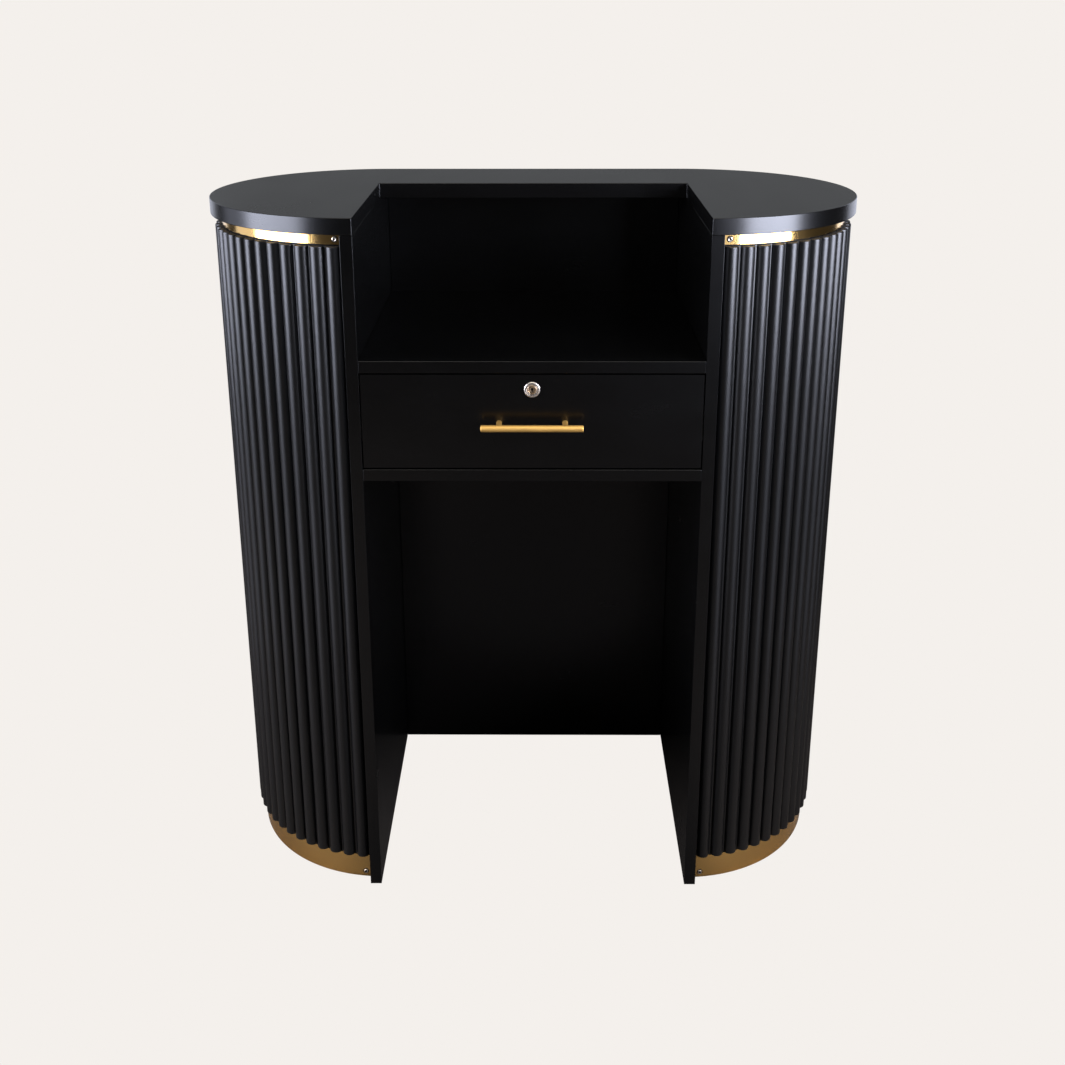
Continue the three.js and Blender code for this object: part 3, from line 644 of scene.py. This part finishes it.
def lathe(name, profile, place, steps=64):
    """A profile of (radius, y) points spun round the line through a place along Y."""
    mesh = bpy.data.meshes.new(name)
    points = [(radius, y, 0.0) for radius, y in profile]
    mesh.from_pydata(points, [(i, i + 1) for i in range(len(points) - 1)], [])
    piece = bpy.data.objects.new(name, mesh)
    bpy.context.scene.collection.objects.link(piece)
    with editing(piece):
        bpy.ops.mesh.select_all(action="SELECT")
        bpy.ops.mesh.spin(steps=steps, angle=math.tau, center=(0, 0, 0), axis=(0, 1, 0))
    close_up(piece)
    piece.location = place
    return settle(piece)


def end_angle(radius):
    """Angle from the front at which a circle of this radius clears the side panel."""
    return math.asin((PANEL_HIGH.x + SEAM - AXIS_X) / radius)


def around_end(sign, angle):
    """Matrix that takes a shape from the front of an upright axis to an angle round an end."""
    place = Matrix.Translation((sign * AXIS_X, AXIS_Y, 0))
    return place @ Matrix.Rotation(sign * angle, 4, "Z")


# ------------------------------------------------------------------ boards


def machined(node, slot, edge):
    """A board cut as its node is, with rounded edges."""
    board = copied(frame["nodes"][node], f"{node}_board")
    nearly_flat = math.radians(0.4)
    close_up(board)
    with editing(board):
        bpy.ops.mesh.select_all(action="SELECT")
        bpy.ops.mesh.dissolve_limited(angle_limit=nearly_flat)
    soften(board, edge)
    shade(board)
    return finished(board, slot, node)


class AddBoards(bpy.types.Operator):
    """Add the lacquered boards of the carcass, with rounded edges"""

    bl_idname = "counter.add_boards"
    bl_label = "Boards"

    def execute(self, context):
        edge = context.scene.counter_sizes.board_edge
        nodes = ["countertop", "left_side_panel", "right_side_panel", "back_panel"]
        for node in [*nodes, "cubby_shelf", "drawer_deck"]:
            machined(node, "black_lacquer", edge)
        return {"FINISHED"}


# ------------------------------------------------------------------ reeds


def reed_master(wall, low, high, width, sizes):
    """One half-round reed in front of the origin, flat against a wall at this distance."""
    height = sizes.reed_height
    radius = (width * width / 4 + height * height) / (2 * height)
    centre_y = -(wall + height - radius)
    reed = rod("reed", radius, (0, centre_y, low), (0, centre_y, high), sides=56)
    bed = 0.5 * MM  # how far the reed sinks into its backing
    root = bed - wall
    with editing(reed):
        bpy.ops.mesh.select_all(action="SELECT")
        bpy.ops.mesh.bisect(
            plane_co=(0, root, 0), plane_no=(0, 1, 0), use_fill=True, clear_outer=True
        )
        choose(
            reed,
            "EDGE",
            lambda edge: all(
                min(abs(v.co.z - low), abs(v.co.z - high)) < TOUCH for v in edge.verts
            )
            and not all(abs(v.co.y - root) < TOUCH for v in edge.verts),
        )
        bpy.ops.mesh.bevel(offset=sizes.reed_end, segments=4)
    return reed


def bent_strip(name, inner, outer, low, high, sign, start, end, steps):
    """An upright strip bent round an end: its cut end is drawn once and spun."""
    bpy.ops.object.select_all(action="DESELECT")
    bpy.ops.mesh.primitive_plane_add(size=1, rotation=(math.pi / 2, 0, math.pi / 2))
    strip = added(name)
    strip.scale = (outer - inner, high - low, 1)
    strip.location = (0, -(inner + outer) / 2, (low + high) / 2)
    settle(strip)
    strip.matrix_world = around_end(sign, start)
    settle(strip)
    with editing(strip):
        bpy.ops.mesh.select_all(action="SELECT")
        bpy.ops.mesh.spin(
            steps=steps,
            angle=sign * (start - end),
            center=(sign * AXIS_X, AXIS_Y, 0),
            axis=(0, 0, 1),
        )
    return close_up(strip)


class AddReeding(bpy.types.Operator):
    """Add the half-round reeds and their backing on the round ends and the customer side"""

    bl_idname = "counter.add_reeding"
    bl_label = "Reeding"

    def execute(self, context):
        sizes = context.scene.counter_sizes
        low, high = END_REEDS_LOW.z, END_REEDS_HIGH.z
        wall = CREST - sizes.reed_height
        start = end_angle(wall)
        board = PANEL_HIGH.x - PANEL_LOW.x
        count = round((wall * math.pi - board) / sizes.reed_pitch)
        step = (math.pi - start) / count
        reed = reed_master(wall, low, high, step * wall - sizes.reed_gap, sizes)
        for side, sign in SIDES.items():
            angles = [start + (i + 0.5) * step for i in range(count)]
            row = [copied(reed, "reed", around_end(sign, angle)) for angle in angles]
            sheet = bent_strip(
                "sheet", WALL_BACK, wall, low, high, sign, end_angle(WALL_BACK), math.pi,
                sizes.round_steps,
            )
            self.finish(row + [sheet], f"{side}_end_reeding")
        discard(reed)

        half = AXIS_X - SEAM
        count = round(2 * PANEL_LOW.x / sizes.reed_pitch)
        step = 2 * half / count
        reed = reed_master(wall, low, high, step - sizes.reed_gap, sizes)
        turned = Matrix.Rotation(math.pi, 4, "Z")
        places = [Vector((half - (i + 0.5) * step, AXIS_Y, 0)) for i in range(count)]
        row = [copied(reed, "reed", Matrix.Translation(place) @ turned) for place in places]
        sheet = block("sheet", (-half, AXIS_Y + WALL_BACK, low), (half, AXIS_Y + wall, high))
        self.finish(row + [sheet], "back_reeding")
        discard(reed)
        return {"FINISHED"}

    @staticmethod
    def finish(pieces, node):
        cladding = settle(joined(f"{node}_cladding", pieces))
        shade(cladding)
        finished(cladding, "black_reeding", node)


# ------------------------------------------------------------------ trim bands


def cross_screw(name, radius, height):
    """A rounded screw head that faces -Y at the origin, with a deep cross recess and painted shade in
    it.
    """
    recess = -height * 0.25
    shank = radius * 0.4
    tip = 6.5 * MM
    head = lathe(
        name,
        [
            (0, recess),
            (radius * 0.46, recess),
            (radius * 0.52, -height * 0.9),
            (radius * 0.66, -height),
            (radius * 0.84, -height * 0.8),
            (radius * 0.97, -height * 0.35),
            (radius, 0),
            (shank, 0.1 * MM),
            (radius * 0.38, 6 * MM),
            (0, tip),
        ],
        (0, 0, 0),
        steps=40,
    )
    arm, slot = radius * 0.62, radius * 0.09
    above, deep = -height - 1 * MM, -height * 0.3
    across = block("recess", (-arm, above, -slot), (arm, deep, slot))
    upright = block("recess", (-slot, above, -arm), (slot, deep, arm))
    cut_with(head, across, upright)
    shade(head, math.radians(30))
    # painted shade in the cross recess and over the hub
    paint_shade(head, lambda c: math.hypot(c.x, c.z) < arm * 1.05 and c.y > -height * 0.7)
    return paint_shade(head, lambda c: math.hypot(c.x, c.z) < radius * 0.5)


class AddBands(bpy.types.Operator):
    """Add the brass-coloured trim bands and the screws at their cut ends"""

    bl_idname = "counter.add_bands"
    bl_label = "Trim bands"

    def execute(self, context):
        steps = context.scene.counter_sizes.round_steps
        broken_edge, sharp = 0.3 * MM, math.radians(60)
        for level in ("top", "bottom"):
            node = f"{level}_trim_band"
            low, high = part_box(node)
            outer = high.y - AXIS_Y
            start = end_angle(outer)
            turn = math.pi - start
            band = bent_strip(
                f"{node}_sheet", WALL_BACK, outer, low.z, high.z, 1, start, math.pi, steps
            )
            back = AXIS_Y + WALL_BACK - 0.1 * MM  # just inside the strip's far end
            with editing(band):
                choose(
                    band,
                    "FACE",
                    lambda f: abs(f.normal.x) > 0.99 and f.calc_center_median().y > back,
                )
                bpy.ops.mesh.extrude_region_move(
                    TRANSFORM_OT_translate={"value": (-2 * AXIS_X, 0, 0)}
                )
                bpy.ops.mesh.spin(
                    steps=steps, angle=-turn, center=(-AXIS_X, AXIS_Y, 0), axis=(0, 0, 1)
                )
            close_up(band)
            soften(band, broken_edge, 2, sharp)
            self.add_screws(band, level, outer)
            shade(band)
            finished(band, "brass_sheet", node)
        return {"FINISHED"}

    @staticmethod
    def add_screws(band, level, outer):
        """Adds the two screws and sinks the band round their heads."""
        radius, height = 3.8 * MM, 1.6 * MM
        inset = 9 * MM  # from the band's cut end
        sink = 0.9 * MM
        proud = 0.2 * MM  # of the band, at the head's rim
        dimple = radius + 1.0 * MM
        clear = 5 * MM  # of the band, at the outer end of the tool that sinks it
        floor = outer - sink
        master = cross_screw("screw", radius, height)
        angle = end_angle(outer) + inset / outer
        centres = []
        for side, sign in SIDES.items():
            node = f"{side}_{level}_band_screw"
            low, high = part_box(node)
            level_z = (low.z + high.z) / 2
            turn = around_end(sign, angle)
            lift = Matrix.Translation((0, -outer - proud, level_z))
            driven = Matrix.Rotation(math.radians(25 * sign + 8), 4, "Y")
            screw = settle(copied(master, f"{node}_head", turn @ lift @ driven))
            finished(screw, "chrome", node)
            start = turn @ Vector((0, -floor, level_z))
            end = turn @ Vector((0, -outer - clear, level_z))
            cut_with(band, rod("hole", dimple, start, end))
            centres.append(start)
        # painted shade in the band's dimple round each screw head
        paint_shade(
            band,
            lambda c: any((c - centre).length < dimple + 0.1 * MM for centre in centres)
            and math.hypot(abs(c.x) - AXIS_X, c.y - AXIS_Y) < outer - 0.1 * MM,
        )
        discard(master)


# ------------------------------------------------------------------ drawer


class AddDrawer(bpy.types.Operator):
    """Add the drawer front and the drawer box"""

    bl_idname = "counter.add_drawer"
    bl_label = "Drawer"

    def execute(self, context):
        machined("drawer_front", "black_lacquer", context.scene.counter_sizes.board_edge)
        box_edge = 0.6 * MM
        for node in ("left_drawer_side", "right_drawer_side", "drawer_back", "drawer_bottom"):
            machined(node, "drawer_lining", box_edge)
        return {"FINISHED"}


class AddHandle(bpy.types.Operator):
    """Add the bar handle and its two posts"""

    bl_idname = "counter.add_handle"
    bl_label = "Handle"

    def execute(self, context):
        low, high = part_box("handle_bar")
        centre = (low + high) / 2
        bar = rod(
            "handle_bar_rod",
            (high.z - low.z) / 2,
            (low.x, centre.y, centre.z),
            (high.x, centre.y, centre.z),
        )
        chamfer, broken_edge, post_edge = 1.1 * MM, 0.2 * MM, 0.5 * MM
        soften(bar, chamfer, 1)
        soften(bar, broken_edge, 2)
        shade(bar)
        finished(bar, "satin_brass", "handle_bar")
        for side in SIDES:
            node = f"{side}_handle_post"
            low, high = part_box(node)
            x, z = (low.x + high.x) / 2, (low.z + high.z) / 2
            post = rod(f"{node}_rod", (high.x - low.x) / 2, (x, low.y, z), (x, high.y, z))
            soften(post, post_edge, 3)
            shade(post)
            finished(post, "satin_brass", node)
        return {"FINISHED"}


# ------------------------------------------------------------------ lock

LOCK_BORE = 7.3 * MM  # round the plug
LOCK_SHANK = 9.5 * MM
LOCK_EDGE = 11.8 * MM  # of the face, inside its rim
GROOVE_IN, GROOVE_OUT = 8.4 * MM, 8.9 * MM  # groove between the face's two bright rings, darkened with painted shade
GROOVE_DEPTH = 1.3 * MM
SLOT_HALF_WIDTH, SLOT_HALF_HEIGHT = 0.7 * MM, 3.3 * MM
SLOT_DEPTH = 6 * MM
MOUTH_RADIUS, MOUTH_LIFT = 1.7 * MM, 0.9 * MM  # round upper part of the key slot
PIN_RADIUS, PIN_DROP = 1.5 * MM, 5 * MM  # pin behind the plug that drives the bolt
SHADED_DEPTH = 1.0 * MM  # recesses deeper than this get painted shade
CRISP = math.radians(32)  # edges sharper than this stay crisp on the turned metal


def lock_barrel(place, rim, face, skin, back):
    """The ringed face and its shank, turned round the lock's axis."""
    rings = [
        (LOCK_BORE, back),
        (LOCK_BORE, face + 0.9 * MM),
        (7.5 * MM, face + 0.35 * MM),
        (7.9 * MM, face + 0.25 * MM),
        (8.2 * MM, face + 0.6 * MM),
        (GROOVE_IN, face + GROOVE_DEPTH),
        (GROOVE_OUT, face + GROOVE_DEPTH),
        (9.1 * MM, face + 0.7 * MM),
        (9.4 * MM, face + 0.2 * MM),
        (9.9 * MM, face),
        (10.6 * MM, face + 0.1 * MM),
        (11.2 * MM, face + 0.45 * MM),
        (11.6 * MM, face + 1.0 * MM),
        (LOCK_EDGE, face + 1.6 * MM),
        (rim, face + 1.7 * MM),
        (rim, skin),
        (LOCK_SHANK, skin),
        (LOCK_SHANK, back),
        (LOCK_BORE, back),
    ]
    return shade(lathe("lock_barrel_rings", rings, place, steps=96), CRISP)


def lock_plug(place, tip, back, pin_level):
    """The dished plug with its key slot, and the pin behind it."""
    neck = back - 6 * MM
    dish = [
        (0, tip + 0.95 * MM),
        (1.5 * MM, tip + 0.85 * MM),
        (2.8 * MM, tip + 0.6 * MM),
        (3.3 * MM, tip + 0.45 * MM),
        (4.1 * MM, tip + 0.45 * MM),
        (4.5 * MM, tip + 0.9 * MM),
        (5.0 * MM, tip + 0.9 * MM),
        (5.3 * MM, tip + 0.25 * MM),
        (5.9 * MM, tip),
        (6.5 * MM, tip + 0.15 * MM),
        (6.9 * MM, tip + 0.6 * MM),
        (7.0 * MM, neck),
        (0, neck),
    ]
    plug = lathe("lock_plug_disc", dish, place, steps=96)
    front, deep = tip - 1 * MM, tip + SLOT_DEPTH
    slot = block(
        "slot",
        (place.x - SLOT_HALF_WIDTH, front, place.z - SLOT_HALF_HEIGHT),
        (place.x + SLOT_HALF_WIDTH, deep, place.z + SLOT_HALF_HEIGHT),
    )
    eye_z = place.z + MOUTH_LIFT
    mouth = rod("mouth", MOUTH_RADIUS, (place.x, front, eye_z), (place.x, deep, eye_z))
    cut_with(plug, slot, mouth)
    overlap = 1 * MM  # of the pin's root with the plug
    pin = rod("pin", PIN_RADIUS, (0, neck - overlap, pin_level), (0, back, pin_level), 24)
    return shade(joined("lock_plug_disc", [plug, pin]), CRISP)


class AddLock(bpy.types.Operator):
    """Add the lock's ringed face and its plug with the key slot"""

    bl_idname = "counter.add_lock"
    bl_label = "Lock"

    def execute(self, context):
        low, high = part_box("lock_barrel")
        face = low.y
        place = Vector(((low.x + high.x) / 2, 0, (low.z + high.z) / 2))

        def far(centre):
            return math.hypot(centre.x - place.x, centre.z - place.z)

        rim = (high.x - low.x) / 2
        barrel = lock_barrel(place, rim, face, FRONT_LOW.y - SEAM, high.y)
        # painted shade in the groove between the rings, and round the face's outer rim
        paint_shade(
            barrel,
            lambda c: GROOVE_IN - 0.1 * MM < far(c) < GROOVE_OUT + 0.05 * MM
            and c.y > face + SHADED_DEPTH,
        )
        paint_shade(barrel, lambda c: far(c) > LOCK_EDGE - 0.05 * MM)
        finished(barrel, "chrome", "lock_barrel")

        low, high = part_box("lock_plug")
        tip = low.y
        plug = lock_plug(place, tip, high.y, (low.z + high.z) / 2 - PIN_DROP)
        # painted shade inside the key slot
        paint_shade(plug, lambda c: far(c) < SLOT_HALF_HEIGHT + 0.1 * MM and c.y > tip + SHADED_DEPTH)
        finished(plug, "chrome", "lock_plug", look="plug_metal")
        return {"FINISHED"}


# ------------------------------------------------------------------ pieces that keep their shape


class FinishFittings(bpy.types.Operator):
    """Give the slides, fasteners and hidden boards their finishes"""

    bl_idname = "counter.finish_fittings"
    bl_label = "Fittings"

    def execute(self, context):
        for subpart in frame["record"]["subparts"]:
            node = frame["nodes"][subpart["node"]]
            if node.hide_render:
                continue
            node.material_slots[0].material = finish_for(subpart["material_slot"])
        return {"FINISHED"}


# ------------------------------------------------------------------ stage

COOL = (0.79, 0.83, 1.0)  # softboxes
WARM = (1.0, 0.93, 0.84)  # overhead softbox
PALE = (0.93, 0.96, 1.0)  # dim panels that only show in reflections
ROOM = (1.0, 0.95, 0.88)  # faint light from all round
OPEN_FLOOR = (0.124, 0.103, 0.08)  # floor beside the knee space


def glowing(name, colour, strength=1.0):
    material = bpy.data.materials.new(name)
    material.use_nodes = True
    nodes = material.node_tree.nodes
    nodes.clear()
    glow = nodes.new("ShaderNodeEmission")
    glow.inputs["Color"].default_value = (*colour, 1)
    glow.inputs["Strength"].default_value = strength
    output = nodes.new("ShaderNodeOutputMaterial")
    material.node_tree.links.new(glow.outputs[0], output.inputs["Surface"])
    return material


def shaded_floor():
    """Matt floor that lights the counter from below. Its colour holds a painted shadow, dim in front
    of the knee space where the counter would shade it, and painted light, brightest well ahead of the
    counter."""
    finish = Finish("floor_light_catcher")
    across, ahead = (
        finish.add("ShaderNodeSeparateXYZ", axis, values={"Vector": finish.place}).math("ABSOLUTE")
        for axis in "XY"
    )
    # painted shadow of the counter: a dim strip of floor within 0.25 to 0.35 m of the middle
    beside = finish.ramp(across, (0.25, 0.0), (0.35, 1.0))
    squeeze = 0.4  # brings the distances ahead into a ramp's range of 0 to 1
    # painted light: floor more than 2 m ahead or behind is made 1.7 times brighter
    far = finish.ramp(ahead * squeeze, (1.3 * squeeze, 0.0), (2.0 * squeeze, 1.0))
    floor_with_painted_shadow = finish.blend(beside, scaled(OPEN_FLOOR, 0.38), OPEN_FLOOR)
    return finish.feed(Base_Color=finish.blend(far, floor_with_painted_shadow, scaled(OPEN_FLOOR, 1.7)), Roughness=0.9)


def seen_by(piece, camera=True, glossy=True, diffuse=True):
    piece.visible_camera = camera
    piece.visible_glossy = glossy
    piece.visible_diffuse = diffuse
    piece.visible_shadow = False
    piece.visible_transmission = camera


class AddStage(bpy.types.Operator):
    """Add the pale floor and backdrop, the soft lights and the camera"""

    bl_idname = "counter.add_stage"
    bl_label = "Stage"

    def execute(self, context):
        context.scene.view_settings.view_transform = "Standard"
        self.add_floor(context.scene.counter_finishes.floor)
        self.add_lights()
        self.add_camera(context.scene)
        return {"FINISHED"}

    @staticmethod
    def add_floor(colour):
        """The pale floor and backdrop that the camera sees, and what lights the counter back."""
        bpy.ops.object.select_all(action="DESELECT")
        bpy.ops.mesh.primitive_circle_add(
            vertices=96, radius=50, fill_type="NGON", location=(0, 0, -0.5 * MM)
        )
        floor = settle(added("floor"))
        floor.data.materials.append(glowing("pale_floor", colour))
        seen_by(floor, camera=True, glossy=False, diffuse=False)

        bpy.ops.object.select_all(action="DESELECT")
        bpy.ops.mesh.primitive_uv_sphere_add(segments=48, ring_count=24, radius=49)
        dome = settle(added("backdrop"))
        dome.data.materials.append(glowing("pale_backdrop", colour))
        seen_by(dome, camera=True, glossy=False, diffuse=False)

        bpy.ops.object.select_all(action="DESELECT")
        bpy.ops.mesh.primitive_plane_add(size=9, location=(0, 0, -1 * MM))
        catcher = settle(added("floor_light_catcher"))
        catcher.data.materials.append(shaded_floor())
        seen_by(catcher, camera=False)

        upright, facing_down = (math.pi / 2, 0, 0), (math.pi, 0, 0)
        wall = AddStage.add_glow("back_wall_glow", (0, 3.6, 1.9), upright, (10, 3.6), 0.24)
        ceiling = AddStage.add_glow("ceiling_glow", (0, 0.4, 4.2), facing_down, (6, 5), 0.3)

    @staticmethod
    def add_glow(name, place, turn, size, radiance):
        """A large dim panel that only shows in reflections."""
        bpy.ops.object.select_all(action="DESELECT")
        bpy.ops.mesh.primitive_plane_add(size=1, location=place, rotation=turn)
        panel = added(name)
        panel.scale = (*size, 1)
        settle(panel)
        panel.data.materials.append(glowing(name, PALE, radiance))
        seen_by(panel, camera=False, diffuse=False)
        return panel

    @staticmethod
    def add_lights():
        world = bpy.data.worlds.new("studio")
        world.use_nodes = True
        background = world.node_tree.nodes["Background"]
        background.inputs["Color"].default_value = (*ROOM, 1)
        background.inputs["Strength"].default_value = 0.03
        bpy.context.scene.world = world

        # name: bearing from the front towards +X, distance, low edge, high edge, width, radiance
        softboxes = {
            "left_softbox": (-65.5, 2.4, 0.5, 2.1, 1.75, 13.6),
            "left_side_glow": (-97, 2.5, 0.5, 2.0, 1.2, 1.1),
            "right_softbox": (52, 1.5, 0.76, 1.8, 0.86, 23.5),
            "right_front_glow": (23, 2.6, 0.5, 2.0, 0.7, 1.2),
            "rear_left_softbox": (-142, 2.8, 0.4, 2.2, 1.2, 1.0),
            "rear_right_softbox": (138, 2.8, 0.4, 2.2, 1.4, 1.4),
        }
        for name, (bearing, distance, low, high, width, radiance) in softboxes.items():
            place = AddStage.from_front(bearing, distance, (low + high) / 2)
            facing = Vector((-place.x, -place.y, 0))
            AddStage.add_softbox(name, place, facing, width, high - low, radiance)

        above_floor, side, radiance = 10 * MM, 1.3, 0.6
        for name, bearing in {"left_floor_glow": -64, "right_floor_glow": 49}.items():
            place = AddStage.from_front(bearing, 1.9, above_floor)
            AddStage.add_softbox(name, place, Vector((0, 0, 1)), side, side, radiance)

        overhead = Vector((0, -1.1, 2.9))
        counter_middle = Vector((0, 0, 0.8))
        AddStage.add_softbox(
            "overhead_softbox", overhead, counter_middle - overhead, 2.2, 1.0, 3.2, WARM
        )

    @staticmethod
    def from_front(bearing, distance, height):
        """A place given by its bearing in degrees from the counter's front towards +X."""
        turn = math.radians(bearing)
        return Vector((distance * math.sin(turn), -distance * math.cos(turn), height))

    @staticmethod
    def add_softbox(name, place, facing, width, height, radiance, colour=COOL):
        """A soft rectangular lamp; radiance is in watts per square metre and steradian."""
        light = bpy.data.lights.new(name, "AREA")
        light.shape = "RECTANGLE"
        light.size, light.size_y = width, height
        light.energy = radiance * math.pi * width * height
        light.color = colour
        lamp = bpy.data.objects.new(name, light)
        lamp.location = place
        lamp.rotation_euler = facing.to_track_quat("-Z", "Y").to_euler()
        lamp.visible_camera = False
        bpy.context.scene.collection.objects.link(lamp)

    @staticmethod
    def add_camera(scene):
        """The camera stands in front at eye height and looks down a little."""
        stand_back = 1.770  # from the countertop's front edge
        eye_height = 1.413
        aside = 0.012  # from the counter's middle, towards +X
        down_angle, turn_angle, roll_angle = 18.58, 0.37, -0.07
        data = bpy.data.cameras.new("camera")
        data.sensor_width = 36
        data.lens = 43.5
        data.shift_y = -0.11
        camera = bpy.data.objects.new("camera", data)
        down = Matrix.Rotation(math.radians(90 - down_angle), 4, "X")
        aim = Matrix.Rotation(math.radians(turn_angle), 4, "Z")
        roll = Matrix.Rotation(math.radians(roll_angle), 4, "Z")
        place = Matrix.Translation((aside, TOP_LOW.y - stand_back, eye_height))
        camera.matrix_world = place @ aim @ down @ roll
        scene.collection.objects.link(camera)
        scene.camera = camera


# ------------------------------------------------------------------ panel and registration


class CounterPanel(bpy.types.Panel):
    """The counter's sizes, colours and build steps"""

    bl_idname = "VIEW3D_PT_counter"
    bl_label = "Reeded counter"
    bl_space_type = "VIEW_3D"
    bl_region_type = "UI"
    bl_category = "Counter"

    def draw(self, context):
        layout = self.layout
        for group in (context.scene.counter_sizes, context.scene.counter_finishes):
            column = layout.column(align=True)
            for name in group.__annotations__:
                column.prop(group, name)
        column = layout.column(align=True)
        for step in STEPS:
            column.operator(step.bl_idname)


STEPS = (
    AddStage,
    AddBoards,
    AddReeding,
    AddBands,
    AddDrawer,
    AddHandle,
    AddLock,
    FinishFittings,
)
CLASSES = (CounterSizes, CounterFinishes, *STEPS, CounterPanel)


def register():
    for cls in CLASSES:
        bpy.utils.register_class(cls)
    bpy.types.Scene.counter_sizes = PointerProperty(type=CounterSizes)
    bpy.types.Scene.counter_finishes = PointerProperty(type=CounterFinishes)


def unregister():
    del bpy.types.Scene.counter_finishes
    del bpy.types.Scene.counter_sizes
    for cls in reversed(CLASSES):
        bpy.utils.unregister_class(cls)


def main():
    register()
    for step in STEPS:
        group, name = step.bl_idname.split(".")
        getattr(getattr(bpy.ops, group), name)()


if __name__ == "__main__":
    main()
